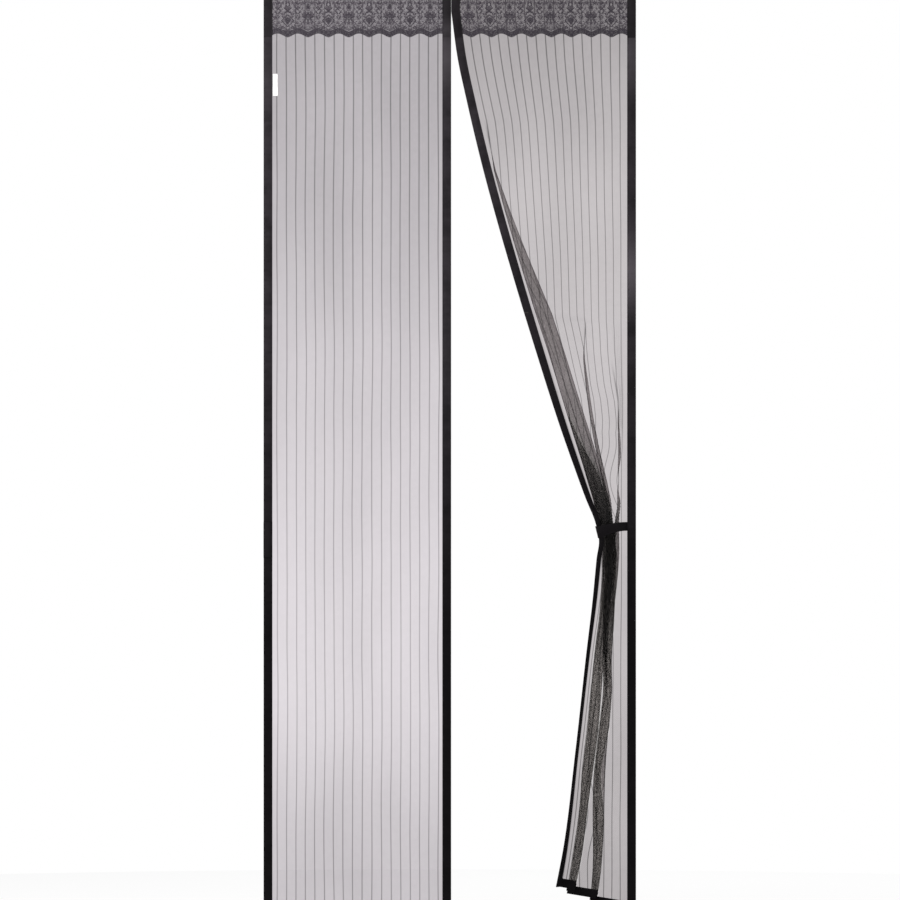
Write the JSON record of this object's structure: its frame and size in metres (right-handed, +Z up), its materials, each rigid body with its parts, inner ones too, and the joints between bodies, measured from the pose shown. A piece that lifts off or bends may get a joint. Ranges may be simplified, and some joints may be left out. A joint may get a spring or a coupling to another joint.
{
  "type": "magnetic insect screen",
  "caption": "Magnetic insect screen for a doorway: striped net panels with lace tops and bound edges that close on hidden magnets, one hanging flat, the other tied back.",
  "frame": {"origin": "middle of the top hook tape's adhesive face, which sticks to the door frame", "axes": "+X to the right as seen from the room, +Y into the door frame behind the screen, +Z up"},
  "size_m": [0.8502, 0.0822, 2.1],
  "materials": {
    "black_net": "open black warp-knitted net with denser stripes, matte",
    "charcoal_lace": "machine lace, matte charcoal",
    "black_binding": "ribbed woven tape, black with a slight sheen",
    "loop_tape": "napped loops, matte black",
    "hook_tape": "moulded hooks on a woven back with a film of adhesive",
    "magnet_strip": "flexible bonded ferrite, satin dark brown",
    "white_label": "woven white satin, bare"
  },
  "bodies": {
    "root": {"left_bottom_binding": "black_binding", "left_hook_tape": "hook_tape", "left_inner_binding": "black_binding", "left_inner_lace_binding": "black_binding", "left_lace": "charcoal_lace", "left_loop_tape": "loop_tape", "left_magnet_01": "magnet_strip", "left_magnet_02": "magnet_strip", "left_magnet_03": "magnet_strip", "left_magnet_04": "magnet_strip", "left_magnet_05": "magnet_strip", "left_magnet_06": "magnet_strip", "left_magnet_07": "magnet_strip", "left_magnet_08": "magnet_strip", "left_magnet_09": "magnet_strip", "left_magnet_10": "magnet_strip", "left_magnet_11": "magnet_strip", "left_magnet_12": "magnet_strip", "left_magnet_13": "magnet_strip", "left_mesh": "black_net", "left_outer_binding": "black_binding", "left_outer_lace_binding": "black_binding", "left_tie_band": "black_binding", "right_bottom_binding": "black_binding", "right_hook_tape": "hook_tape", "right_inner_binding": "black_binding", "right_inner_lace_binding": "black_binding", "right_lace": "charcoal_lace", "right_loop_tape": "loop_tape", "right_magnet_01": "magnet_strip", "right_magnet_02": "magnet_strip", "right_magnet_03": "magnet_strip", "right_magnet_04": "magnet_strip", "right_magnet_05": "magnet_strip", "right_magnet_06": "magnet_strip", "right_magnet_07": "magnet_strip", "right_magnet_08": "magnet_strip", "right_magnet_09": "magnet_strip", "right_magnet_10": "magnet_strip", "right_magnet_11": "magnet_strip", "right_magnet_12": "magnet_strip", "right_magnet_13": "magnet_strip", "right_mesh": "black_net", "right_outer_binding": "black_binding", "right_outer_lace_binding": "black_binding", "right_tie_band": "black_binding", "side_label": "white_label", "top_binding": "black_binding", "top_hook_tape": "hook_tape", "top_loop_tape": "loop_tape"}
  },
  "joints": []
}
